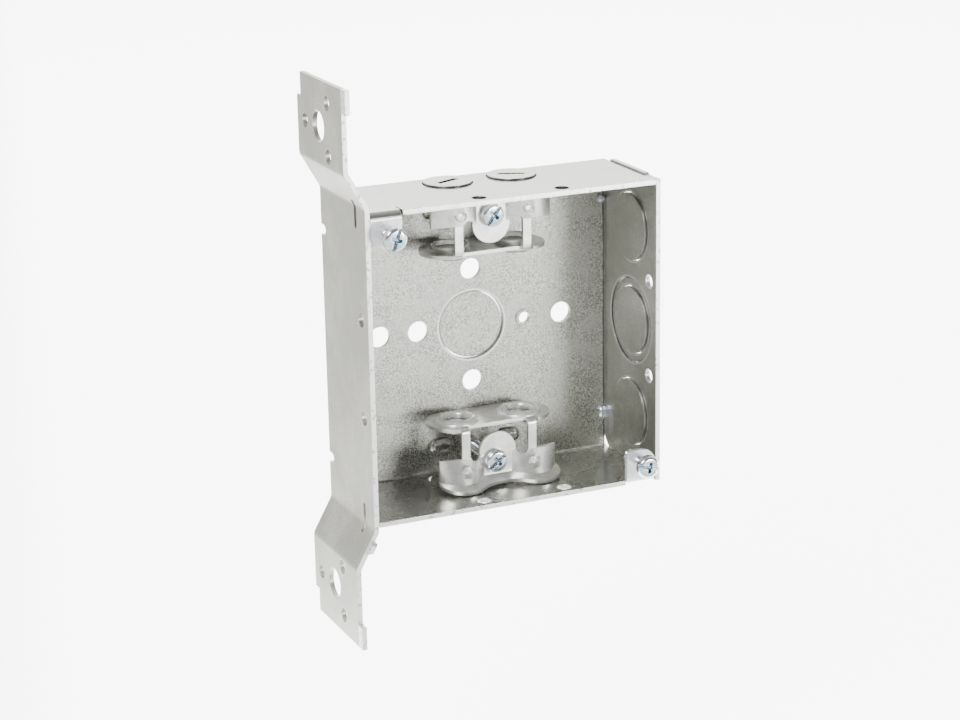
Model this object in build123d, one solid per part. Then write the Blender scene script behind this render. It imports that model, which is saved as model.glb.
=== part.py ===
from build123d import *
import os
from math import atan2, cos, radians, sin, tan

# A square steel switch box, open at the front, with a stud bracket down its left side,
# a cable clamp at the top and the bottom, and a cover screw in two opposite corners.
# X runs to the right, Y into the wall and Z up. The origin is the middle of the back's outer face.

# Driving dimensions in millimetres: the box
box_side = 101.6
box_depth = 38.1
sheet = 1.59
fold_inner_r = 0.6
seam = 0.15

# Welded right side wall
wall_lift = 0.6
lift_end_from_front = 8.2
rear_corner_cut = 6.2

# Knockouts and pry-outs, half sheared out of the sheet
shear_gap = 0.35
tie_width = 1.6
trade_half_r = 11.5
trade_three_quarter_r = 14.3
knockout_push = 0.8
ring_push = 0.45
side_knockout_from_front = 17.4
side_knockout_pitch = 31.75
pry_out_r = 8.2
pry_out_push = 0.6
pry_out_from_back = 10.1
pry_slot_length = 8.8
pry_slot_width = 1.9
pry_slot_angle = 24.0

# Holes in the walls
screw_hole_r = 3.55
screw_hole_offset = 19.05
far_hole_offset = 32.6
nail_hole_r = 2.35
side_hole_height = 16.0
side_hole_from_front = 4.9
bracket_hole_from_front = 5.9
top_hole_half_pitch = 14.3
top_hole_shift = 3.3
top_hole_from_front = 4.0
ground_hole_r = 2.0
ground_rim_r = 3.0
ground_rim_height = 0.5

# Oval bumps that stop the cable against the back
bump_half_length = 4.5
bump_half_height = 2.75
bump_rise = 2.0
bump_foot_rise = 1.2
bump_foot_taper = 25.0
bump_crown_taper = 58.0
bump_x = 12.3
bump_from_wall = 10.8

# Corner tabs for the cover screws
tab_width = 10.4
tab_drop = 11.4
tab_fold_inner_r = 0.9
tab_wall_corner_r = 4.6
tab_free_corner_r = 2.9
tab_relief = 0.5
tab_screw_inset = 7.4

# Stud bracket
ear_offset = 6.5
ear_bend_height = 1.2
ear_slope_rise = 11.5
ear_reach = 39.0
ear_shift = 3.2
ear_shift_length = 7.6
bracket_bend_r = 3.0
ear_hole_r = 5.0
ear_hole_y = 18.0
ear_hole_z = 24.3
ear_nail_r = 2.4
ear_nail_back_y = 6.4
ear_nail_front_y = 25.6
ear_nail_spread = 8.3
edge_notch_height = 3.4
edge_notch_depth = 3.8
edge_notch_from_end = 12.6
relief_slot_width = 2.1
relief_slot_below_end = 6.2
relief_slot_past_end = 3.6
relief_slot_y = 30.0
lug_reach = 2.6
lug_height = 3.4
lug_past_end = 4.3

# Cable clamps
clamp_sheet = 1.2
clamp_wall_gap = 0.3
lower_clamp_x = 0.5
upper_clamp_x = -0.5
throat_end_r = 10.2
throat_half_pitch = 11.2
throat_front = 17.5
throat_bore_r = 4.6
throat_corner_relief = 0.5
bead_r = 0.9
collar_bore_r = 5.3
collar_foot_r = 6.6
collar_foot_height = 0.9
collar_neck_r = 5.7
collar_rim_r = 6.05
collar_rim_height = 0.8
leg_x = 11.9
leg_width = 2.9
leg_height = 10.5
leg_front = 19.5
leg_bend_inner_r = 0.8
valley_front = 17.9
valley_half_width = 5.1
clamp_half_width = 20.8
clamp_plate_height = 7.3
clamp_foot_gap = 0.37
lobe_rise_top = 1.75
lobe_rise_bend = 4.6
tongue_r = 6.5
tongue_height = 7.8
leg_slot_r = 1.95
leg_slot_depth = 1.4
dimple_r = 1.7
dimple_depth = 0.5
dimple_drop = 3.8
lip_reach = 4.8
lip_lobe_r = 8.0
lip_lobe_x = 13.2
lip_lobe_reach = 9.3
lip_droop = 9.0
clamp_hole_r = 2.3
clamp_hole_length = 6.4

# Screws
thread_core_r = 1.75
thread_clearance = 0.05
head_r = 3.85
head_height = 2.4
head_edge = 1.3
head_dome = 0.39
slot_width = 1.1
slot_depth = 1.0
cross_width = 1.3
cross_length = 4.4
cross_depth = 1.5
shank_end_chamfer = 0.4
cover_screw_length = 12.7
cover_screw_standoff = 4.8
clamp_screw_length = 19.05
clamp_screw_x = -0.5
clamp_screw_from_wall = 9.5
clamp_collar_r = 3.2
clamp_collar_height = 2.4
head_gap = 0.1

# Places worked out from them
half = box_side / 2
front = -box_depth
inner = half - sheet
fold_end = inner - seam
bore_r = thread_core_r + thread_clearance
side_knockout_y = front + side_knockout_from_front
clamp_seat = -sheet - clamp_wall_gap
tongue_front = clamp_seat - valley_front
lip_drop = lip_lobe_reach * sin(radians(lip_droop)) + clamp_sheet * cos(radians(lip_droop))
clamp_bend = inner - clamp_foot_gap - lip_drop
clamp_plate_top = clamp_bend - clamp_plate_height
throat_height = clamp_plate_top - leg_height
clamp_screw_z = half - clamp_screw_from_wall


def solid(plane, outline, height):
    """An outline drawn on a plane, made solid along the plane's normal."""
    return extrude(plane * outline, height, dir=plane.z_dir)


def on_back(x, z, y=-sheet):
    """A place on the back wall whose Z axis looks out of the open front."""
    return Location((x, y, z), (90, 0, 0))


def on_top(x, y):
    """A place on the top wall's outer face whose Z axis looks up."""
    return Location((x, y, half))


def on_right(y, z):
    """A place on the right wall's inner face whose Z axis looks into the box."""
    return Location((inner, y, z), (0, -90, 0))


def on_left(y, z, x=-half):
    """A place on the bracket's outer face whose Z axis looks away from the box."""
    return Location((x, y, z), (0, -90, 0))


def drill(radius, depth=4 * sheet):
    """A round hole's cutter, centred on the face."""
    return Cylinder(radius, depth)


def half_turn(shape):
    """The same shape in the opposite corner of the front."""
    return Rot(0, 180, 0) * shape


def below(shape):
    """The same shape mirrored from the top of the box to the bottom."""
    return mirror(shape, about=Plane.XY)


def knock_out(body, place, radius, push, tie_angles):
    """Shear a disc almost free of the sheet and push it out along the place's Z axis."""
    hole = Pos(0, 0, -sheet / 2) * Cylinder(radius, sheet + 2 * abs(push))
    disc = Pos(0, 0, push - sheet / 2) * Cylinder(radius - shear_gap, sheet)
    tie_low = max(-sheet, push - sheet)
    tie_high = min(0, push)
    tie = Pos(radius - shear_gap / 2, 0, (tie_low + tie_high) / 2) * Box(
        3 * shear_gap, tie_width, tie_high - tie_low)
    body = body - place * hole + place * disc
    for angle in tie_angles:
        body += place * Rot(0, 0, angle) * tie
    return body


def pry_out(body, place, slot_angle):
    """A small disc with a screwdriver slot, sheared almost free of the top wall."""
    body = knock_out(body, place, pry_out_r, pry_out_push, (90, 270))
    slot = extrude(SlotOverall(pry_slot_length, pry_slot_width), 2 * sheet, both=True)
    return body - place * Rot(0, 0, slot_angle) * slot


def folded_angle(depth, drop, thickness, inner_r):
    """An L section with its outer corner at the origin and its legs along +X and +Y."""
    section = Polygon(
        (0, 0), (depth, 0), (depth, thickness), (thickness, thickness), (thickness, drop), (0, drop),
        align=None)
    outer_corner = section.vertices().sort_by_distance((0, 0))[0]
    section = fillet(outer_corner, inner_r + thickness)
    inner_corner = section.vertices().sort_by_distance((thickness, thickness))[0]
    return fillet(inner_corner, inner_r)


def tab_outline():
    """The corner tab seen from the front, at the top left."""
    left = -fold_end
    outline = Pos(left + tab_width / 2, half - tab_drop / 2) * Rectangle(tab_width, tab_drop)
    wall_corner = outline.vertices().sort_by_distance((left, half - tab_drop))[0]
    outline = fillet(wall_corner, tab_wall_corner_r)
    free_corner = outline.vertices().sort_by_distance((left + tab_width, half - tab_drop))[0]
    return fillet(free_corner, tab_free_corner_r)


def corner_tab():
    """A tab folded down from the top wall, tapped for a cover screw."""
    root = 2 * (tab_fold_inner_r + sheet)
    section = folded_angle(root, tab_drop, sheet, tab_fold_inner_r)
    plane = Plane(origin=(-fold_end + tab_width, front, half), x_dir=(0, 1, 0), z_dir=(-1, 0, 0))
    tab = solid(plane, section, tab_width)
    tab &= solid(Plane.XZ.offset(-front - root), tab_outline(), root)
    screw_hole = on_back(-half + tab_screw_inset, half - tab_screw_inset, front)
    return tab - screw_hole * drill(bore_r)


def tab_clearance():
    """What is cut from the top wall so that the tab can fold, with its relief slit."""
    root = 2 * (tab_fold_inner_r + sheet)
    width = tab_width + tab_relief
    block = Box(width, root, 3 * sheet, align=(Align.MIN, Align.MIN, Align.CENTER))
    fold = Pos(-fold_end, front, half) * block
    slit = Pos(-fold_end + tab_width, front + root, half) * Cylinder(tab_relief, 3 * sheet)
    keep = Pos(-fold_end, front, half) * Box(
        tab_width, 2 * root, 3 * sheet, align=(Align.MIN, Align.MIN, Align.CENTER))
    return fold + (slit - keep)


def pressed_oval(shrink):
    """An oval boss with a steep foot and a flatter crown, rising along Z."""
    crown_shrink = shrink + bump_foot_rise * tan(radians(bump_foot_taper))
    tiers = Part()
    for start, rise, inset, taper in (
            (0, bump_foot_rise, shrink, bump_foot_taper),
            (bump_foot_rise, bump_rise - bump_foot_rise, crown_shrink, bump_crown_taper)):
        outline = SlotOverall(2 * (bump_half_length - inset), 2 * (bump_half_height - inset))
        tiers += Pos(0, 0, start) * extrude(outline, rise, taper=taper)
    return tiers


def oval_bump(x, z):
    """An oval pressed up from the back wall, and the hollow behind it."""
    return on_back(x, z) * pressed_oval(0), on_back(x, z, 0) * pressed_oval(sheet / 2)


def box_shell():
    """Top, back and bottom walls folded from one blank, with the corner tabs."""
    section = Pos(front / 2, 0) * Rectangle(box_depth, box_side)
    section = fillet(section.vertices().group_by(Axis.X)[-1], fold_inner_r + sheet)
    hollow = Pos((front - sheet) / 2, 0) * Rectangle(box_depth - sheet, box_side - 2 * sheet)
    hollow = fillet(hollow.vertices().group_by(Axis.X)[-1], fold_inner_r)
    shell = extrude(Plane.YZ * (section - hollow), fold_end, both=True)
    for turn in (lambda shape: shape, half_turn):
        shell = shell - turn(tab_clearance()) + turn(corner_tab())

    for side in (-1, 1):
        shell -= on_back(0, side * screw_hole_offset) * drill(screw_hole_r)
        shell -= on_back(side * far_hole_offset, 0) * drill(screw_hole_r)
    shell -= on_back(-screw_hole_offset, 0) * drill(screw_hole_r)
    shell += on_back(screw_hole_offset, 0) * Pos(0, 0, ground_rim_height / 2) * Cylinder(
        ground_rim_r, ground_rim_height)
    shell -= on_back(screw_hole_offset, 0) * drill(ground_hole_r)
    shell = knock_out(shell, on_back(0, 0), trade_half_r, -knockout_push, (135,))

    for flip in (lambda shape: shape, below):
        for side in (-1, 1):
            rise, dent = oval_bump(side * bump_x, half - bump_from_wall)
            shell = shell + flip(rise) - flip(dent)
        collar = Pos(0, 0, clamp_collar_height / 2) * Cylinder(clamp_collar_r, clamp_collar_height)
        tapped = on_back(clamp_screw_x, clamp_screw_z)
        shell = shell + flip(tapped * collar) - flip(tapped * drill(bore_r, 4 * clamp_collar_height))
    for flip in (lambda shape: shape, below):
        shell = flip(shell)
        for side in (-1, 1):
            place = on_top(side * throat_half_pitch, -pry_out_from_back)
            shell = pry_out(shell, place, -side * pry_slot_angle)
            hole_x = top_hole_shift + side * top_hole_half_pitch
            shell -= on_top(hole_x, front + top_hole_from_front) * drill(nail_hole_r)
        shell = flip(shell)
    return shell


def right_side_wall():
    """The welded right wall: two single knockouts and one double, and two nail holes."""
    top = half + wall_lift
    step = front + lift_end_from_front
    corner = half - rear_corner_cut
    upper = [(front, half), (step - wall_lift, half), (step, top), (-rear_corner_cut, top), (0, corner)]
    lower = [(y, -z) for y, z in reversed(upper)]
    wall = solid(Plane.YZ.offset(inner), Polygon(*upper, *lower, align=None), sheet)
    for side in (-1, 1):
        place = on_right(side_knockout_y, side * side_knockout_pitch)
        wall = knock_out(wall, place, trade_half_r, knockout_push, (160,))
        wall -= on_right(front + side_hole_from_front, side * side_hole_height) * drill(nail_hole_r)
    ring = on_right(side_knockout_y, 0)
    wall = knock_out(wall, ring, trade_three_quarter_r, -ring_push, (20, 200))
    core = ring * Pos(0, 0, -ring_push)
    wall = knock_out(wall, core, trade_half_r, knockout_push, (110,))
    return wall


def strip_section(points, thickness, bend_r):
    """A bent strip's section: the points run along its left face, and its bends are round."""
    turned = []
    for before, here, after in zip(points[:1] + points[:-1], points, points[1:] + points[-1:]):
        first = atan2(here[1] - before[1], here[0] - before[0]) if here != before else None
        last = atan2(after[1] - here[1], after[0] - here[0]) if here != after else first
        first = last if first is None else first
        reach = thickness / cos((last - first) / 2)
        normal = (first + last) / 2 - radians(90)
        turned.append((here[0] + reach * cos(normal), here[1] + reach * sin(normal)))
    outline = Polygon(*points, *reversed(turned), align=None)
    for corner in points[1:-1] + turned[1:-1]:
        vertex = outline.vertices().sort_by_distance(corner)[0]
        outline = fillet(vertex, bend_r)
    return outline


def bracket_outline():
    """The bracket seen from its left side: Y across, Z up."""
    tip = half + ear_reach
    shift_start = tip - ear_shift_length
    outline = Pos(front / 2, 0) * Rectangle(box_depth, 2 * shift_start)
    ends = Pos(front / 2 - ear_shift, 0) * Rectangle(box_depth, 2 * tip)
    outline += ends - Rectangle(4 * box_depth, 2 * shift_start)
    for side in (-1, 1):
        notch_z = side * (half - edge_notch_from_end)
        notch = Pos(0, notch_z) * SlotOverall(2 * edge_notch_depth, edge_notch_height)
        outline -= notch
        slot_length = relief_slot_past_end + relief_slot_below_end
        slot_z = side * (half + (relief_slot_past_end - relief_slot_below_end) / 2)
        slot = Rot(0, 0, 90) * SlotOverall(slot_length, relief_slot_width)
        outline -= Pos(-relief_slot_y, slot_z) * slot
    lug = Pos(front, -half - lug_past_end) * Rectangle(
        2 * lug_reach, lug_height, align=(Align.CENTER, Align.MAX))
    lug = fillet(lug.vertices(), lug_height / 4)
    return outline + lug


def bracket_side_wall():
    """The left wall and its two nailing ears, stamped and bent from one strip."""
    bend = half + ear_bend_height
    tip = half + ear_reach
    upper = [(-half, 0), (-half, bend), (-half - ear_offset, bend + ear_slope_rise), (-half - ear_offset, tip)]
    section = strip_section(upper, sheet, bracket_bend_r)
    section += mirror(section, about=Plane.XZ)
    width = box_depth + 2 * max(ear_shift, lug_reach)
    strip = solid(Plane.XZ.offset(-max(ear_shift, lug_reach)), section, width)
    wall = strip & solid(Plane.YZ.offset(-box_side), bracket_outline(), box_side)
    for side in (-1, 1):
        wall -= on_left(front + bracket_hole_from_front, side * side_hole_height) * drill(nail_hole_r)
        ear_z = half + ear_hole_z
        ear_x = -half - ear_offset
        wall -= on_left(-ear_hole_y, side * ear_z, ear_x) * drill(ear_hole_r)
        wall -= on_left(-ear_nail_back_y, side * ear_z, ear_x) * drill(ear_nail_r)
        for spread in (-ear_nail_spread, ear_nail_spread):
            wall -= on_left(-ear_nail_front_y, side * ear_z + spread, ear_x) * drill(ear_nail_r)
    return wall


def lobe_front(height):
    """How far the lobes' crests stand in front of the clamp's back, at a distance from the box's middle."""
    part = (height - clamp_plate_top) / (clamp_bend - clamp_plate_top)
    return valley_front + lobe_rise_top + part * (lobe_rise_bend - lobe_rise_top)


def clamp_section(rise):
    """The clamp's plate cut level: a flat valley between two lobes that bulge to the front."""
    middle = (valley_half_width + clamp_half_width) / 2
    edges = []
    for y, reach in ((0, -rise), (clamp_sheet, clamp_sheet - rise)):
        edges.append(ThreePointArc((-clamp_half_width, y), (-middle, reach), (-valley_half_width, y)))
        edges.append(Line((-valley_half_width, y), (valley_half_width, y)))
        edges.append(ThreePointArc((valley_half_width, y), (middle, reach), (clamp_half_width, y)))
    for side in (-1, 1):
        edges.append(Line((side * clamp_half_width, 0), (side * clamp_half_width, clamp_sheet)))
    return make_face(edges)


def clamp_lip():
    """The flared foot seen from above: two round lobes with a hollow between them."""
    centre_y = lip_lobe_r - lip_lobe_reach
    across = lip_lobe_x ** 2 + (lip_reach + centre_y) ** 2 - lip_lobe_r ** 2
    hollow_r = across / (2 * (lip_lobe_r - lip_reach - centre_y))
    lobes = Sketch()
    for side in (-1, 1):
        lobes += Pos(side * lip_lobe_x, centre_y) * Circle(lip_lobe_r)
        back = Rectangle(2 * lip_lobe_r, -centre_y, align=(Align.CENTER, Align.MIN))
        lobes += Pos(side * lip_lobe_x, centre_y) * back
    hollow_centre = -lip_reach - hollow_r
    span = lip_lobe_x * hollow_r / (hollow_r + lip_lobe_r)
    height = hollow_centre + hollow_r * (hollow_centre - centre_y) / -(hollow_r + lip_lobe_r)
    web = Polygon((-lip_lobe_x, 0), (-span, height), (span, height), (lip_lobe_x, 0), align=None)
    web -= Pos(0, hollow_centre) * Circle(hollow_r)
    outline = lobes + web
    keep = Pos(0, clamp_sheet) * Rectangle(3 * box_side, 3 * box_side, align=(Align.CENTER, Align.MAX))
    return outline & keep


def throat_plate():
    """The plate across the cable entries, seen from above with the back wall at Y = 0."""
    centre_y = -throat_end_r
    plate = Pos(0, centre_y) * SlotCenterToCenter(2 * throat_half_pitch, 2 * throat_end_r)
    cut_half = leg_x + leg_width / 2 + throat_corner_relief
    plate -= Pos(0, -throat_front) * Rectangle(2 * cut_half, box_depth, align=(Align.CENTER, Align.MAX))
    return plate


def throat_ring():
    """A rounded bead for the wires on one face and a flared, rimmed collar for the cable on the other."""
    foot = -clamp_sheet - collar_foot_height
    rim = foot - collar_rim_height
    bead_x = throat_bore_r + bead_r
    profile = Polygon(
        (throat_bore_r, 0), (throat_bore_r, -clamp_sheet), (collar_bore_r, -clamp_sheet), (collar_bore_r, rim),
        (collar_rim_r, rim), (collar_rim_r, foot), (collar_neck_r, foot), (collar_foot_r, -clamp_sheet),
        (collar_foot_r, 0), align=None)
    turns = [radians(turn) for turn in range(0, 181, 45)]
    profile += Polygon(*[(bead_x + bead_r * cos(turn), bead_r * sin(turn)) for turn in turns], align=None)
    return revolve(Plane.XZ * profile, Axis.Z)


def cable_clamp():
    """One stamped clamp, built as the lower one: its throat plate on top, its back at Y = 0."""
    valley = -valley_front
    upper = Pos(0, valley, -clamp_plate_top) * clamp_section(lobe_rise_top)
    lip_fall = lobe_rise_bend * sin(radians(lip_droop)) + clamp_sheet / 20
    lower = Pos(0, valley, -clamp_bend - lip_fall) * clamp_section(lobe_rise_bend)
    clamp = loft([upper, lower], ruled=True)
    lip = solid(Plane.XY, clamp_lip(), -clamp_sheet)
    clamp += Pos(0, valley, -clamp_bend) * Rot(lip_droop, 0, 0) * lip

    tongue = Pos(0, tongue_height - clamp_bend) * Circle(tongue_r)
    tongue += Pos(0, -clamp_bend) * Rectangle(2 * tongue_r, tongue_height, align=(Align.CENTER, Align.MIN))
    clamp += solid(Plane.XZ.offset(-valley), tongue, -clamp_sheet)
    for side in (-1, 1):
        slot_centre = Pos(side * (tongue_r + leg_slot_r), leg_slot_r - leg_slot_depth - clamp_plate_top)
        slot = slot_centre * Circle(leg_slot_r)
        slot += slot_centre * Rectangle(2 * leg_slot_r, box_depth, align=(Align.CENTER, Align.MIN))
        clamp -= solid(Plane.XZ, slot, box_depth)
    clamp += solid(Plane.XY.offset(-throat_height), throat_plate(), -clamp_sheet)
    for side in (-1, 1):
        clamp += clamp_leg(side)
        eye = Pos(side * throat_half_pitch, -throat_end_r, -throat_height)
        clamp -= eye * Cylinder(throat_bore_r + bead_r, 4 * clamp_sheet)
        clamp += eye * throat_ring()
        dimple = Rot(-90, 0, 0) * Cone(1.5 * dimple_r, dimple_r / 2, 2 * dimple_depth)
        dimple_height = clamp_plate_top + dimple_drop
        clamp -= Pos(side * leg_x, -lobe_front(dimple_height), -dimple_height) * dimple
    hole_x = clamp_screw_x - (lower_clamp_x + upper_clamp_x) / 2
    hole = Pos(hole_x, -clamp_screw_z) * SlotOverall(clamp_hole_length, 2 * clamp_hole_r)
    return clamp - solid(Plane.XZ, hole, box_depth)


def clamp_leg(side):
    """A leg folded down from the throat plate to the crest of a lobe."""
    root = leg_front - throat_front + 2 * clamp_sheet
    section = folded_angle(root, clamp_plate_top - throat_height + clamp_sheet, clamp_sheet, leg_bend_inner_r)
    start = side * leg_x + leg_width / 2
    plane = Plane(origin=(start, -leg_front, -throat_height), x_dir=(0, 1, 0), z_dir=(-1, 0, 0))
    return solid(plane, section, leg_width)


def screw(length):
    """A pan head machine screw, its head's seat at the origin and its shank along +Y."""
    rim = (head_r, head_height - head_edge)
    dome = (head_r - head_dome, head_height - head_dome)
    top = (head_r - head_edge, head_height)
    profile = Polygon((0, 0), (head_r, 0), rim, dome, top, (0, head_height), align=None)
    head = revolve(Plane.XZ * profile, Axis.Z)
    head -= Pos(0, 0, head_height) * Box(4 * head_r, slot_width, 2 * slot_depth)
    cross = Box(cross_length, cross_width, 2 * cross_depth)
    head -= Pos(0, 0, head_height) * (cross + Rot(0, 0, 90) * cross)
    shank = Pos(0, 0, -length / 2) * Cylinder(thread_core_r, length)
    shank = chamfer(shank.edges().group_by(Axis.Z)[0], shank_end_chamfer)
    return Rot(90, 0, 0) * (head + shank)


os.makedirs("parts", exist_ok=True)

shell = box_shell()
clamp = cable_clamp()
lower_clamp = Pos(lower_clamp_x, clamp_seat, 0) * clamp
upper_clamp = Pos(upper_clamp_x, clamp_seat, 0) * mirror(clamp, about=Plane.XY)
clamp_screw = screw(clamp_screw_length)
cover_screw = screw(cover_screw_length)
clamp_head = tongue_front - head_gap
cover_head = front - cover_screw_standoff
screw_corner = half - tab_screw_inset

pieces = {
    "box_shell": shell,
    "right_side_wall": right_side_wall(),
    "bracket_side_wall": bracket_side_wall(),
    "upper_cable_clamp": upper_clamp,
    "lower_cable_clamp": lower_clamp,
    "upper_clamp_screw": Pos(clamp_screw_x, clamp_head, clamp_screw_z) * clamp_screw,
    "lower_clamp_screw": Pos(clamp_screw_x, clamp_head, -clamp_screw_z) * clamp_screw,
    "cover_screw_upper_left": Pos(-screw_corner, cover_head, screw_corner) * cover_screw,
    "cover_screw_lower_right": Pos(screw_corner, cover_head, -screw_corner) * cover_screw,
}
for node, piece in pieces.items():
    export_step(piece, f"parts/{node}.step")
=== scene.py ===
# %% [markdown]
# # A square steel switch box
#
# The box is pressed from zinc-coated sheet steel. Its exact shapes come from the CAD model, so this
# notebook loads them as a fixed frame and then does what a photographer's eye wants: finishes for
# each kind of metal, screws with real threads and recesses, the small marks of the press shop, the
# camera and the light.

# %% Load the frame
from math import cos, pi, radians, sin

import bpy
from mathutils import Matrix, Vector


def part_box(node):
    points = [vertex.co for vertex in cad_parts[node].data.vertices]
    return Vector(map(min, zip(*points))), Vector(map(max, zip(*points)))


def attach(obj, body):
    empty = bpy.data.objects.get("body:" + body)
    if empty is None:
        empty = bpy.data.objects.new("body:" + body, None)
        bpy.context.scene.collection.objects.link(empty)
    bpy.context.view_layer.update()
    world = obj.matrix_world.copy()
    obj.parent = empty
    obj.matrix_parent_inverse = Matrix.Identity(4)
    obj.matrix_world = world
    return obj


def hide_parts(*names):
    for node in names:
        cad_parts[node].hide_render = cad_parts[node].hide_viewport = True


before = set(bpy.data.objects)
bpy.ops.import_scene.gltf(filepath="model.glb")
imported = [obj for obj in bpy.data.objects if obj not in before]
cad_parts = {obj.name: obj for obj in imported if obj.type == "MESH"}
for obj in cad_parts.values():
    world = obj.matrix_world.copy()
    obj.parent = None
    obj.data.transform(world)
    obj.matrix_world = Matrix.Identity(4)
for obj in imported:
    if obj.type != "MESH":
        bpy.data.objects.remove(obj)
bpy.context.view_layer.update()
MM = 0.001
print("nodes", sorted(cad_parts))

# %% [markdown]
# ## The camera
#
# The camera stands where the photographer's did. Its azimuth, elevation and roll were fitted to the
# corners and holes of the box, whose trade sizes are known, so the render can be laid over the
# photograph. The long lens is why the box's edges look almost parallel.

# %% Camera
azimuth, elevation, roll = radians(-23.989), radians(16.818), radians(-1.045)
target = Vector((3.531, 0, -13.102)) * MM
distance = 829.97 * MM
focal_pixels = 2498.4

back = Vector((sin(azimuth) * cos(elevation), -cos(azimuth) * cos(elevation), sin(elevation)))
level_right = Vector((cos(azimuth), sin(azimuth), 0))
level_up = back.cross(level_right)
right = level_right * cos(roll) + level_up * sin(roll)
up = level_up * cos(roll) - level_right * sin(roll)

bpy.ops.object.camera_add()
camera = bpy.context.object
camera.name = "camera"
camera.data.sensor_width = 36
camera.data.lens = 36 * focal_pixels / 960
turn = Matrix((right, up, back)).transposed().to_4x4()
camera.matrix_world = Matrix.Translation(target + back * distance) @ turn
camera.data.clip_start = 0.01
bpy.context.scene.camera = camera
print("camera at", [round(v / MM, 1) for v in camera.matrix_world.translation], "mm")

# %% [markdown]
# ## The studio
#
# Bare zinc has hardly any colour of its own, so what it reflects is most of what is seen. The
# surround is bright behind the box and dim behind the camera, which keeps the inside of the box
# darker than its outside. Three large soft lights add the highlights: one high on the left, one in
# front that the back wall mirrors, and one behind that grazes the top.

# %% Surround
surround = bpy.data.worlds.new("studio_surround")
surround.use_nodes = True
nodes, links = surround.node_tree.nodes, surround.node_tree.links
toward = nodes.new("ShaderNodeSeparateXYZ")
links.new(nodes.new("ShaderNodeTexCoord").outputs["Generated"], toward.inputs[0])
fade = nodes.new("ShaderNodeMapRange")
fade.interpolation_type = "SMOOTHSTEP"
links.new(toward.outputs["Y"], fade.inputs["Value"])
front_strength, rear_strength = 0.3, 1.5
fade_range = {"From Min": -0.7, "From Max": 0.7, "To Min": front_strength, "To Max": rear_strength}
for name, value in fade_range.items():
    fade.inputs[name].default_value = value
nodes["Background"].inputs["Color"].default_value = (1, 1, 1, 1)
links.new(fade.outputs[0], nodes["Background"].inputs["Strength"])
bpy.context.scene.world = surround
print("surround from", front_strength, "in front to", rear_strength, "behind")


# %% Lights
def soft_light(name, place, size, power):
    """A square soft light that looks at the middle of the box."""
    bpy.ops.object.light_add(type="AREA", location=place)
    light = bpy.context.object
    light.name = name
    light.data.size = size
    light.data.energy = power
    light.rotation_euler = (-Vector(place)).to_track_quat("-Z", "Y").to_euler()
    print(name, "at", place, "m with", power, "W")


soft_light("key_light", (-1.1, -1.0, 1.3), 0.8, 38)
soft_light("front_light", (0.82, -1.58, -0.10), 0.48, 24)
soft_light("rear_light", (0.8, 1.5, 0.95), 1.0, 16)

# %% [markdown]
# ## Tools for finishes
#
# A finish is a small network of nodes. To keep it readable, a number that varies over the surface is
# wrapped in a class, and ordinary sums on it add the Math nodes. One method makes every other node.

# %% Sums on surface values
class Amount:
    """A number that varies over a surface."""

    def __init__(self, finish, socket):
        self.finish = finish
        self.socket = socket

    def sum(self, operation, *values):
        node = self.finish.node("ShaderNodeMath", {"operation": operation}, dict(enumerate(values)))
        return Amount(self.finish, node.outputs[0])

    def __add__(self, other):
        return self.sum("ADD", self, other)

    def __sub__(self, other):
        return self.sum("SUBTRACT", self, other)

    def __rsub__(self, other):
        return self.sum("SUBTRACT", other, self)

    def __mul__(self, other):
        return self.sum("MULTIPLY", self, other)

    def __gt__(self, other):
        return self.sum("GREATER_THAN", self, other)

    def __lt__(self, other):
        return self.sum("LESS_THAN", self, other)

    def size(self):
        return self.sum("ABSOLUTE", self)

    def root(self):
        return self.sum("SQRT", self)

    __radd__ = __add__
    __rmul__ = __mul__


# %% A finish and its nodes
edge_wear = 0.30 * MM
edge_turn = (0.01, 0.14)
# Sharp edges are blended toward this light colour, partly edge wear and partly painted highlight.
edge_wear_and_highlight = (0.88, 0.88, 0.86)


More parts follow.
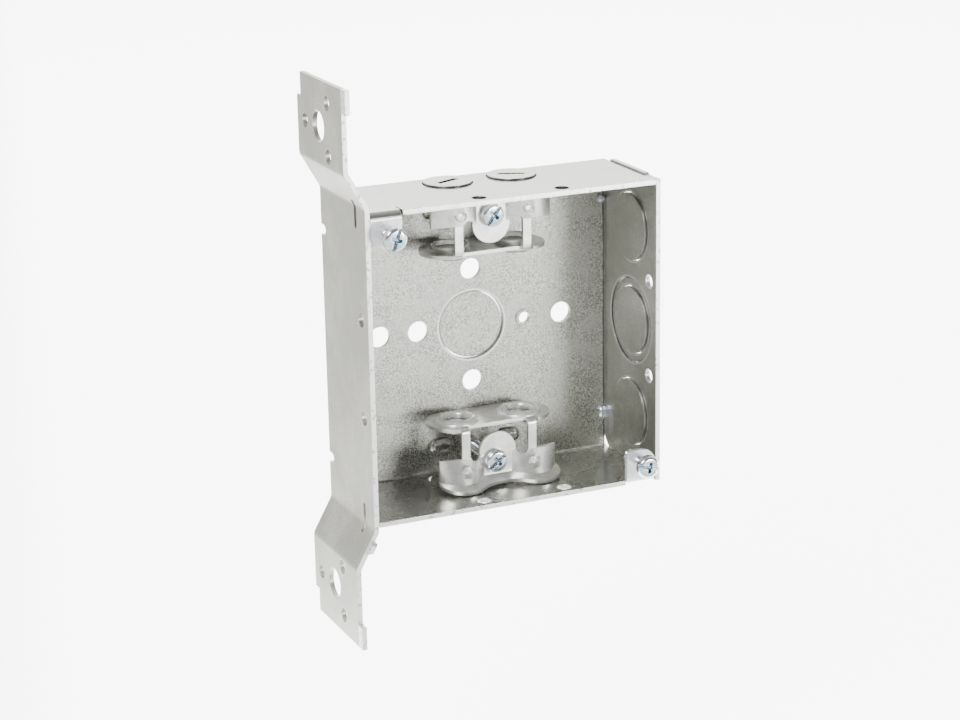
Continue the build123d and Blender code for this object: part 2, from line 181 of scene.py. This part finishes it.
class Finish:
    """A finish made of nodes, which reads places on the object in metres."""

    def __init__(self, name, metallic=1.0):
        self.material = bpy.data.materials.new(name)
        self.material.use_nodes = True
        self.tree = self.material.node_tree
        self.shader = self.tree.nodes["Principled BSDF"]
        self.shader.inputs["Metallic"].default_value = metallic
        self.place = self.node("ShaderNodeTexCoord").outputs["Object"]
        parts = self.node("ShaderNodeSeparateXYZ", {}, {"Vector": self.place})
        self.x, self.y, self.z = (Amount(self, socket) for socket in parts.outputs)

    def node(self, kind, settings=None, sockets=None):
        """Any node: its settings first, then the values or links of its sockets."""
        node = self.tree.nodes.new(kind)
        for name, value in (settings or {}).items():
            setattr(node, name, value)
        for name, value in (sockets or {}).items():
            self.join(node.inputs[name], value)
        return node

    def join(self, socket, value):
        if isinstance(value, Amount):
            value = value.socket
        if isinstance(value, bpy.types.NodeSocket):
            self.tree.links.new(value, socket)
        else:
            socket.default_value = value

    def noise(self, per_metre, detail, rough, stretch=(1, 1, 1)):
        """Soft random clouds, which may be stretched into streaks."""
        place = self.node("ShaderNodeMapping", {}, {"Vector": self.place, "Scale": stretch}).outputs[0]
        cloud = self.node("ShaderNodeTexNoise", {}, {
            "Vector": place, "Scale": per_metre, "Detail": detail, "Roughness": rough})
        return Amount(self, cloud.outputs[0])

    def between(self, value, low, high):
        """0 below low, 1 above high and a smooth step between them."""
        node = self.node("ShaderNodeMapRange", {"interpolation_type": "SMOOTHSTEP"}, {
            "Value": value, "From Min": low, "From Max": high})
        return Amount(self, node.outputs[0])

    def ring(self, across, along, middle, radius, half_width):
        """1 on a thin circle drawn in the plane of two places, 0 elsewhere."""
        a, b = across - middle[0], along - middle[1]
        off = ((a * a + b * b).root() - radius).size()
        return 1 - self.between(off, 0.4 * half_width, half_width)

    def blend(self, factor, first, second):
        """One colour where the factor is 0 and the other where it is 1."""
        node = self.node("ShaderNodeMix", {"data_type": "RGBA"}, {"Factor": factor})
        self.join(node.inputs[6], (*first, 1) if isinstance(first, tuple) else first)
        self.join(node.inputs[7], (*second, 1) if isinstance(second, tuple) else second)
        return node.outputs[2]

    def coat(self, colour, roughness, height, depth, strength):
        """Join what was made to the surface, whose sharp edges are worn round and painted lighter, as
        wear and as a highlight.
        """
        worn_edge = self.node("ShaderNodeBevel", {"samples": 4}, {"Radius": edge_wear})
        flat = self.node("ShaderNodeNewGeometry").outputs["Normal"]
        agree = self.node("ShaderNodeVectorMath", {"operation": "DOT_PRODUCT"}, {
            0: worn_edge.outputs[0], 1: flat})
        edge_wear_and_highlight_mask = self.between(1 - Amount(self, agree.outputs["Value"]), *edge_turn)
        # Edges take the lighter colour: edge wear and painted highlight.
        self.join(self.shader.inputs["Base Color"], self.blend(edge_wear_and_highlight_mask * 0.8, colour, edge_wear_and_highlight))
        self.join(self.shader.inputs["Roughness"], roughness)
        bump = self.node("ShaderNodeBump", {}, {
            "Height": height, "Distance": depth, "Strength": strength, "Normal": worn_edge.outputs[0]})
        self.join(self.shader.inputs["Normal"], bump.outputs[0])
        print("finish", self.material.name, "of", len(self.tree.nodes), "nodes")
        return self.material


# %% [markdown]
# ## The sheet of paper
#
# The floor is a sheet of white paper, far enough below to keep the box's shadow soft. It glows like
# a light table, but only behind the box and to the right of its left side, which makes the backdrop
# white. The rest stays dim, because the back wall mirrors the floor in front of the box and the left
# wall mirrors the floor beside it. Each border of the glow is a smooth step along one direction.

# %% Floor
floor_height = -190 * MM
dim_paper, white_paper = (0.62, 0.62, 0.61), (0.93, 0.93, 0.92)
dim_glow, full_glow, glow_strength = (0.065, 0.065, 0.065), (1, 1, 1), 7.0
away_x, away_y, view_slant = 0.407, 0.914, 0.238

bpy.ops.object.select_all(action="DESELECT")
bpy.ops.mesh.primitive_plane_add(size=12, location=(0, 0, floor_height))
floor = bpy.context.object
floor.name = "floor"
paper = Finish("pale_floor", 0.0)
behind = paper.between(paper.x * away_x + paper.y * away_y, -0.16, 0.08)
beside = paper.between(paper.x - paper.y * view_slant, -0.25, -0.13)
paper.join(paper.shader.inputs["Base Color"], paper.blend(behind, dim_paper, white_paper))
paper.join(paper.shader.inputs["Emission Color"], paper.blend(behind * beside, dim_glow, full_glow))
paper.shader.inputs["Emission Strength"].default_value = glow_strength
paper.shader.inputs["Roughness"].default_value = 0.9
floor.data.materials.append(paper.material)
print("floor at", round(floor.location.z / MM), "mm")

# %% [markdown]
# ## Galvanised sheet
#
# The folded shell shows its zinc best on the back wall: a fine sandy grain, a little lighter and
# darker in patches a few millimetres wide. Its top and bottom walls are smoother, rubbed by the
# press tools. The sheared front edges are bare and bright. All of it is one material, because the
# shell is one sheet, and masks made from the place on the object tell its parts from each other.
# The places are measured from the frame once and named here.

# %% Places on the box
front_edge = -38.02 * MM
tab_front = -36.3 * MM
wall_inside = 49.2 * MM
back_layer = (-3.0 * MM, -2.2 * MM)
seam = (48.75 * MM, 49.1 * MM)
half_inch_r, three_quarter_r = 11.35 * MM, 14.12 * MM
knockout_middle, knockout_pitch = -20.7 * MM, 31.75 * MM
pry_out_x, pry_out_y, pry_out_r = 11.2 * MM, -10.1 * MM, 8.05 * MM
pry_slot_lean = radians(24)
nail_hole_x, nail_hole_y, nail_hole_r = (-11.0 * MM, 17.6 * MM), -34.1 * MM, 2.2 * MM
print("knockout radii", round(half_inch_r / MM, 2), "and", round(three_quarter_r / MM, 2), "mm")

# %% [markdown]
# Shears and punches leave bare edges with nicks. Thin gaps round holes, pry-out slots and the seam
# are painted dark as shade, and some rims beside them get painted highlights.

# %% Bare edges, painted gap shade and painted rim highlights
# The bare edge colour is also the painted highlight on rims beside knockouts and holes.
bare_edge_and_highlight, nicked_edge = (0.86, 0.86, 0.84), (0.40, 0.40, 0.38)
# Near black: painted shade in gaps, slots, the seam and throat bores.
painted_gap_shade = (0.10, 0.10, 0.095)


def sheared_edge(finish, colour, where=1.0):
    """The bare edge round the open front, with small nicks where the shears bit."""
    bites = finish.noise(520, 3, 0.7)
    edge = finish.blend(finish.between(bites, 0.56, 0.66), bare_edge_and_highlight, nicked_edge)
    return finish.blend((finish.y < front_edge) * where, colour, edge)


def slot_mark(finish, across, along, lean):
    """1 in and close round a pry-out's slot, which leans in the plane of two places."""
    length = (across * cos(lean) + along * sin(lean)).size()
    width = (along * cos(lean) - across * sin(lean)).size()
    in_length = 1 - finish.between(length, 4.4 * MM, 4.7 * MM)
    return in_length * (1 - finish.between(width, 1.0 * MM, 1.2 * MM))


def shell_shade_and_highlights(zinc, on_back, folded_wall, patches):
    """Painted shade in the shell's gaps, seam, slots and top nail holes, and painted highlights on
    rims.
    """
    # Painted shade on the back knockout's shear gap and along the seam, painted highlight on its rim.
    dark = zinc.ring(zinc.x, zinc.z, (0, 0), half_inch_r, 0.5 * MM) * on_back * 0.8
    dark = dark + zinc.between(zinc.x + patches * MM, *seam) * on_back * 0.9
    painted_highlight = zinc.ring(zinc.x, zinc.z, (0, 0), half_inch_r + 0.65 * MM, 0.42 * MM) * on_back
    # Painted shade on each pry-out's sheared outline and in its slot.
    for side in (-1, 1):
        across, along = zinc.x - side * pry_out_x, zinc.y - pry_out_y
        dark = dark + zinc.ring(across, along, (0, 0), pry_out_r, 0.34 * MM) * 0.6
        dark = dark + slot_mark(zinc, across, along, -side * pry_slot_lean) * folded_wall * 0.9
    # Nail holes: painted shade round those in the top wall, painted highlight round those in the
    # bottom.
    for hole in nail_hole_x:
        punched = zinc.ring(zinc.x, zinc.y, (hole, nail_hole_y), nail_hole_r, 0.45 * MM)
        dark = dark + punched * (zinc.z > wall_inside)
        painted_highlight = painted_highlight + punched * (zinc.z < -wall_inside)
    return dark, painted_highlight


# %% The shell's finish
smooth_dark, smooth_light = (0.36, 0.362, 0.332), (0.46, 0.463, 0.425)
smooth_grain = (0.62, 0.622, 0.58)
sand_dark, sand_light = (0.25, 0.251, 0.23), (0.60, 0.602, 0.555)
sand_cloud, tab_highlight_white = (0.49, 0.492, 0.453), (0.90, 0.92, 0.94)


def shell_finish():
    """Sandy zinc on the back, smooth zinc on the folded walls, and tabs painted white as a highlight.
    """
    zinc = Finish("galvanised_shell")
    grain = zinc.noise(1750, 3, 0.75)
    patches = zinc.noise(110, 4, 0.65)
    rubs = zinc.noise(170, 4, 0.7, stretch=(0.25, 1, 1))
    on_back = zinc.between(zinc.y, *back_layer)
    folded_wall = zinc.z.size() > wall_inside
    tabs = (zinc.y < tab_front) * (1 - folded_wall)
    speckle = zinc.between(grain, 0.40, 0.62)
    smooth = zinc.blend(rubs, smooth_dark, smooth_light)
    smooth = zinc.blend(speckle * 0.18, smooth, smooth_grain)
    sandy = zinc.blend(speckle, sand_dark, sand_light)
    clouded = zinc.blend(zinc.between(patches, 0.40, 0.64) * 0.6, sandy, sand_cloud)
    dark, painted_highlight = shell_shade_and_highlights(zinc, on_back, folded_wall, patches)
    walls = zinc.blend(painted_highlight * 0.7, zinc.blend(on_back, smooth, clouded), bare_edge_and_highlight)
    # The tabs are painted near white as a highlight.
    walls = zinc.blend(tabs * 0.8, walls, tab_highlight_white)
    # Gaps, seam and slots take the painted shade.
    colour = sheared_edge(zinc, zinc.blend(dark, walls, painted_gap_shade), folded_wall)
    zinc.join(zinc.shader.inputs["Metallic"], 0.95 - tabs * 0.5)
    roughness = on_back * 0.05 + 0.21 + patches * 0.12
    height = on_back * speckle + 0.05 * rubs
    return zinc.coat(colour, roughness, height, depth=0.05 * MM, strength=0.6)


# %% [markdown]
# The two side walls are welded on from smoother strip. They carry cloudy stains, faint upright
# rubbing marks and the same bright sheared edges. The thin open line round each sheared knockout
# is painted dark as shade, with a painted highlight line beside it. On the right wall, the heat of
# the lower weld left a pale, bluish mark.

# %% The side walls' finish
heat_place, heat_r = (-3 * MM, -39 * MM), 7 * MM
heat_blue = (0.78, 0.80, 0.84)


def wall_finish(name, light, dark, circles=()):
    """Stained and rubbed strip, with painted shade and a painted highlight round each knockout given
    as height and radius.
    """
    strip = Finish(name, 0.93)
    clouds = strip.noise(55, 4, 0.6)
    rubs = strip.noise(420, 3, 0.6, stretch=(1, 1, 0.12))
    fine = strip.noise(1500, 3, 0.75)
    stained = strip.blend(strip.between(clouds, 0.36, 0.66), dark, light)
    rubbed = strip.blend(rubs * 0.3, stained, sand_light)
    flecked = strip.blend(strip.between(fine, 0.42, 0.60) * 0.65, rubbed, dark)
    for height, radius in circles:
        middle = (knockout_middle, height)
        # Painted shade on the knockout's shear line and a painted highlight on the rim beside it.
        shade_line = strip.ring(strip.y, strip.z, middle, radius, 0.38 * MM)
        highlight_rim = strip.ring(strip.y, strip.z, middle, radius + 0.62 * MM, 0.36 * MM)
        flecked = strip.blend(shade_line * 0.75, strip.blend(highlight_rim * 0.6, flecked, bare_edge_and_highlight), painted_gap_shade)
    if circles:
        heat = strip.ring(strip.y, strip.z, heat_place, 0, heat_r) * strip.between(rubs, 0.3, 0.7)
        flecked = strip.blend(heat * 0.7, flecked, heat_blue)
    roughness = 0.27 + clouds * 0.16 + rubs * 0.06
    return strip.coat(sheared_edge(strip, flecked), roughness, 0.6 * rubs + 0.4 * fine,
                      depth=0.045 * MM, strength=0.6)


# %% [markdown]
# The clamps are plated after they are pressed, so they are smooth and shiny, with only a faint
# haze, and the bores of their throats are painted dark as shade. The screws are plated brighter,
# with a cold, slightly blue passivation; their recesses are painted darker as shade. The rolled
# rims take a brighter, less metallic copy of the plating as a painted highlight.

# %% Plated finishes
clamp_middles = {"upper_clamp": -0.5 * MM, "lower_clamp": 0.5 * MM}
throat_pitch, throat_y, throat_bore_r = 11.2 * MM, -12.09 * MM, 4.6 * MM
collar_end = 33 * MM
clamp_light, clamp_dark = (0.84, 0.842, 0.815), (0.62, 0.622, 0.595)


def plated_finish(name, light, dark, shine, metallic=1.0, throats=()):
    """Smooth plating with a haze, and painted shade in the bore at each place across that a throat
    has.
    """
    plate = Finish(name, metallic)
    haze = plate.noise(190, 4, 0.65)
    fine = plate.noise(1500, 3, 0.7)
    colour = plate.blend(plate.between(haze, 0.34, 0.66), dark, light)
    colour = plate.blend(plate.between(fine, 0.44, 0.62) * 0.35, colour, dark)
    for middle in throats:
        # Painted shade in each throat's bore.
        bore_shade = plate.ring(plate.x, plate.y, (middle, throat_y), throat_bore_r, 0.3 * MM)
        near_plate = plate.z.size() < collar_end
        colour = plate.blend(bore_shade * near_plate * 0.9, colour, painted_gap_shade)
    roughness = shine + haze * 0.12
    return plate.coat(colour, roughness, fine, depth=0.02 * MM, strength=0.4)


clamp_zinc = {}
for clamp, middle in clamp_middles.items():
    throats = (middle - throat_pitch, middle + throat_pitch)
    clamp_zinc[clamp] = plated_finish(f"plated_{clamp}", clamp_light, clamp_dark, 0.24, 0.88, throats)
screw_zinc = plated_finish("plated_screw", (0.86, 0.89, 0.92), (0.66, 0.72, 0.78), 0.10)
# The recesses take the bluish passivation painted darker as shade.
recess_shade_zinc = plated_finish("screw_recess_shade", (0.34, 0.48, 0.56), (0.16, 0.28, 0.38), 0.20)
# The rolled rims take a brighter, less metallic copy of the plating as a painted highlight.
rolled_highlight_zinc = plated_finish("rolled_rim_highlight", (0.92, 0.92, 0.90), (0.72, 0.72, 0.70), 0.20, 0.6)
weld_steel = plated_finish("weld_steel", (0.78, 0.82, 0.88), (0.42, 0.46, 0.52), 0.22)

# %% Dress the pressed pieces
wall_circles = [(0, three_quarter_r)]
wall_circles += [(row * knockout_pitch, half_inch_r) for row in (-1, 0, 1)]
finishes = {
    "box_shell": shell_finish(),
    "right_side_wall": wall_finish(
        "right_wall_strip", (0.56, 0.562, 0.515), (0.40, 0.402, 0.367), wall_circles),
    "bracket_side_wall": wall_finish("bracket_strip", (0.57, 0.566, 0.50), (0.37, 0.368, 0.322)),
    "upper_cable_clamp": clamp_zinc["upper_clamp"],
    "lower_cable_clamp": clamp_zinc["lower_clamp"],
}
for node, material in finishes.items():
    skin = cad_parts[node]
    skin.data.materials.clear()
    skin.data.materials.append(material)
print("finished", len(finishes), "pressed pieces")

# %% [markdown]
# ## Screws
#
# Each screw is a pan head with a slot and a cross recess on a coarse machine thread. The head starts
# as a cylinder whose rim is bevelled round, and the recesses are cut out of it. The thread is one
# small triangle of profile that a Screw modifier winds down the shank.

# %% Helpers for modelling
def pick(*things):
    """Select only these objects, the last one active."""
    bpy.ops.object.select_all(action="DESELECT")
    for thing in things:
        thing.select_set(True)
        bpy.context.view_layer.objects.active = thing


def select_where(thing, test, kind="VERT"):
    """In edit mode, select the vertices or edges whose corners all pass the test."""
    bpy.ops.object.mode_set(mode="EDIT")
    bpy.ops.mesh.select_mode(type=kind)
    bpy.ops.mesh.select_all(action="DESELECT")
    bpy.ops.object.mode_set(mode="OBJECT")
    mesh = thing.data
    for item in {"VERT": mesh.vertices, "EDGE": mesh.edges}[kind]:
        corners = [item.co] if kind == "VERT" else [mesh.vertices[i].co for i in item.vertices]
        item.select = all(test(corner) for corner in corners)
    bpy.ops.object.mode_set(mode="EDIT")


def apply_modifiers(thing):
    """Make every modifier part of the mesh."""
    pick(thing)
    for modifier in list(thing.modifiers):
        bpy.ops.object.modifier_apply(modifier=modifier.name)


def cut(thing, cutter):
    """Take the cutter's shape out of the thing."""
    modifier = thing.modifiers.new("cut", "BOOLEAN")
    modifier.operation = "DIFFERENCE"
    modifier.solver = "EXACT"
    modifier.object = cutter
    apply_modifiers(thing)
    bpy.data.objects.remove(cutter)


def settle(thing):
    """Leave the object at the origin with its place in its mesh."""
    pick(thing)
    bpy.ops.object.transform_apply(location=True, rotation=True, scale=True)


# %% The head
head_height = 2.4 * MM
head_rim = 1.25 * MM
slot_width, slot_depth = 1.3 * MM, 1.05 * MM
cross_width, cross_length, cross_depth = 1.6 * MM, 4.8 * MM, 1.7 * MM
cross_taper = 0.55
recess_reach, recess_top, recess_floor = 2.3 * MM, head_height - 0.25 * MM, 0.1 * MM


def bar(length, width, depth, top, taper):
    """A tapered bar that cuts one groove down from the head's top."""
    bpy.ops.object.select_all(action="DESELECT")
    bpy.ops.mesh.primitive_cube_add(size=1, location=(0, 0, top))
    groove = bpy.context.object
    groove.scale = (length, width, 2 * depth)
    settle(groove)
    select_where(groove, lambda corner: corner.z < top)
    bpy.ops.transform.resize(value=(taper, taper, 1))
    bpy.ops.object.mode_set(mode="OBJECT")
    return groove


def screw_head(radius):
    """A round-edged pan head with a slot and a cross, its seat at the origin."""
    bpy.ops.object.select_all(action="DESELECT")
    bpy.ops.mesh.primitive_cylinder_add(
        vertices=72, radius=radius, depth=head_height, location=(0, 0, head_height / 2))
    head = bpy.context.object
    settle(head)
    select_where(head, lambda corner: corner.z > head_height * 0.99, "EDGE")
    bpy.ops.mesh.bevel(offset=head_rim, segments=8, affect="EDGES", profile=0.5)
    bpy.ops.object.mode_set(mode="OBJECT")
    cut(head, bar(4 * radius, slot_width, slot_depth, head_height, 1.0))
    for turn in (0, pi / 2):
        arm = bar(cross_length, cross_width, cross_depth, head_height, cross_taper)
        arm.rotation_euler = (0, 0, turn)
        settle(arm)
        cut(head, arm)
    return head


# %% The thread
pitch = 0.794 * MM
core_radius, crest_radius = 1.66 * MM, 2.06 * MM
flank_height, crest_flat = 0.44 * pitch, 0.12 * pitch
speck = 0.001 * MM


def thread(length):
    """A wound ridge on a round core, from the head's seat down."""
    bpy.ops.object.select_all(action="DESELECT")
    bpy.ops.mesh.primitive_plane_add(size=speck, location=(core_radius, 0, -length))
    ridge = bpy.context.object
    settle(ridge)
    bpy.ops.object.mode_set(mode="EDIT")
    bpy.ops.mesh.select_all(action="SELECT")
    bpy.ops.mesh.merge(type="CENTER")
    depth = crest_radius - core_radius
    for step in ((depth, 0, flank_height), (0, 0, crest_flat), (-depth, 0, flank_height)):
        bpy.ops.mesh.extrude_region_move(TRANSFORM_OT_translate={"value": step})
    bpy.ops.object.mode_set(mode="OBJECT")
    winding = ridge.modifiers.new("winding", "SCREW")
    winding.axis = "Z"
    winding.screw_offset = pitch
    winding.iterations = int(length / pitch)
    winding.steps = winding.render_steps = 28
    winding.use_merge_vertices = True
    winding.merge_threshold = speck
    apply_modifiers(ridge)
    bpy.ops.object.select_all(action="DESELECT")
    bpy.ops.mesh.primitive_cylinder_add(
        vertices=40, radius=core_radius * 1.01, depth=length, location=(0, 0, -length / 2))
    core = bpy.context.object
    settle(core)
    select_where(core, lambda corner: corner.z < -length * 0.99, "EDGE")
    bpy.ops.mesh.bevel(offset=0.4 * MM, segments=2, affect="EDGES")
    bpy.ops.object.mode_set(mode="OBJECT")
    pick(ridge, core)
    bpy.ops.object.join()
    return core


# %% [markdown]
# The same steps make each screw at its own length, and it is then placed by the box of the node that
# it stands for. The slots stand at the angles they have in the photograph.

# %% Place the screws
def screw(name, node, body, angle):
    """One screw, turned about its axis, in the place of a node."""
    low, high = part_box(node)
    radius = (high.x - low.x) / 2
    length = high.y - low.y - head_height
    head = screw_head(radius)
    pick(head)
    head.data.materials.append(screw_zinc)
    head.data.materials.append(recess_shade_zinc)
    # Faces inside the recesses get the darker copy of the plating, painted shade.
    for face in head.data.polygons:
        reach = (face.center.x ** 2 + face.center.y ** 2) ** 0.5
        face.material_index = int(reach < recess_reach and recess_floor < face.center.z < recess_top)
    shank = thread(length)
    shank.data.materials.append(screw_zinc)
    pick(shank, head)
    bpy.ops.object.join()
    piece = head
    piece.name = name
    piece.rotation_euler = (0, 0, angle)
    settle(piece)
    piece.rotation_euler = (pi / 2, 0, 0)
    piece.location = ((low.x + high.x) / 2, low.y + head_height, (low.z + high.z) / 2)
    settle(piece)
    bpy.ops.object.mode_set(mode="EDIT")
    bpy.ops.mesh.select_all(action="SELECT")
    bpy.ops.mesh.normals_make_consistent(inside=False)
    bpy.ops.object.mode_set(mode="OBJECT")
    bpy.ops.object.shade_smooth_by_angle(angle=radians(32))
    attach(piece, body)
    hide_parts(node)
    print(name, "head radius", round(radius / MM, 2), "shank", round(length / MM, 2), "mm")


screw("cover_screw_a", "cover_screw_upper_left", "upper_left_cover_fastener", radians(70))
screw("cover_screw_b", "cover_screw_lower_right", "lower_right_cover_fastener", radians(-12))
screw("clamp_screw_a", "upper_clamp_screw", "upper_clamp_fastener", radians(52))
screw("clamp_screw_b", "lower_clamp_screw", "lower_clamp_fastener", radians(38))

# %% [markdown]
# ## Rolled beads and small bosses
#
# The rims of the cable throats are rolled over on one face and flared into a collar on the other, so
# they are round and catch a long highlight, and each lobe of a clamp has a small raised ring where a
# punch set it. The solids have plain cones there. A torus is a wire ring already, so one is laid over
# each, and its outer half is flattened in edit mode, as a rolled edge is.

# %% A ring of wire
def wire_ring(name, radius, wire, flatness, place, tilt, body):
    """A closed ring, flattened, tilted about X and set in place, that rides on one clamp."""
    bpy.ops.object.select_all(action="DESELECT")
    bpy.ops.mesh.primitive_torus_add(
        major_radius=radius, minor_radius=wire, major_segments=72, minor_segments=16)
    piece = bpy.context.object
    piece.name = name
    select_where(piece, lambda corner: (corner.x ** 2 + corner.y ** 2) ** 0.5 > radius)
    bpy.ops.transform.resize(value=(1.02, 1.02, flatness))
    bpy.ops.object.mode_set(mode="OBJECT")
    piece.rotation_euler = (tilt, 0, 0)
    piece.location = place
    settle(piece)
    bpy.ops.object.shade_smooth()
    # The ring takes the brighter copy of the plating, a painted highlight.
    piece.data.materials.append(rolled_highlight_zinc)
    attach(piece, body)
    print(name, "at", [round(v / MM, 2) for v in place], "mm")


# %% Rings over the clamps
bead_r, bead_wire, bead_z = 5.8 * MM, 1.5 * MM, 28.4 * MM
lip_r, lip_wire, lip_z = 5.68 * MM, 0.42 * MM, 31.05 * MM
boss_r, boss_wire, boss_tilt = 1.75 * MM, 0.28 * MM, radians(68.7)
boss_x, boss_y, boss_z = 11.9 * MM, -22.94 * MM, 42.65 * MM

for body, side in (("lower_clamp", -1), ("upper_clamp", 1)):
    node = body.replace("clamp", "cable_clamp")
    middle = clamp_middles[body]
    for hand, turn in (("left", -1), ("right", 1)):
        throat_x = middle + turn * throat_pitch
        wire_ring(f"{body}_{hand}_throat_bead", bead_r, bead_wire, 0.65,
                  (throat_x, throat_y, side * bead_z), 0, body)
        wire_ring(f"{body}_{hand}_collar_lip", lip_r, lip_wire, 0.7,
                  (throat_x, throat_y, side * lip_z), 0, body)
        wire_ring(f"{body}_{hand}_boss", boss_r, boss_wire, 0.8,
                  (middle + turn * boss_x, boss_y, side * boss_z), side * boss_tilt, body)

# %% [markdown]
# ## Welds
#
# Two welds hold the right wall to the back: lumps of steel that ran and froze, whiter and bluer
# than the zinc around them. A sphere is squashed into the corner, and its surface is shaken a little
# and smoothed again, because molten steel has no sharp bumps.

# %% Welds
def weld(name, place, size, seed):
    """A frozen lump in the corner of the back and the right wall, its place and size in mm."""
    bpy.ops.object.select_all(action="DESELECT")
    bpy.ops.mesh.primitive_ico_sphere_add(subdivisions=4, radius=1)
    piece = bpy.context.object
    piece.name = name
    bpy.ops.object.mode_set(mode="EDIT")
    bpy.ops.mesh.select_all(action="SELECT")
    bpy.ops.transform.vertex_random(offset=0.10, uniform=0.3, normal=0.7, seed=seed)
    bpy.ops.mesh.vertices_smooth(factor=0.5, repeat=2)
    bpy.ops.object.mode_set(mode="OBJECT")
    piece.scale = Vector(size) * MM
    piece.location = Vector(place) * MM
    settle(piece)
    bpy.ops.object.shade_smooth()
    piece.data.materials.append(weld_steel)
    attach(piece, "box")
    print(name, "at", place, "mm")


weld("lower_weld", (48.1, -2.0, -37.4), (1.8, 1.3, 2.4), 3)
weld("upper_weld", (47.8, -1.9, 37.4), (1.4, 1.0, 1.5), 8)
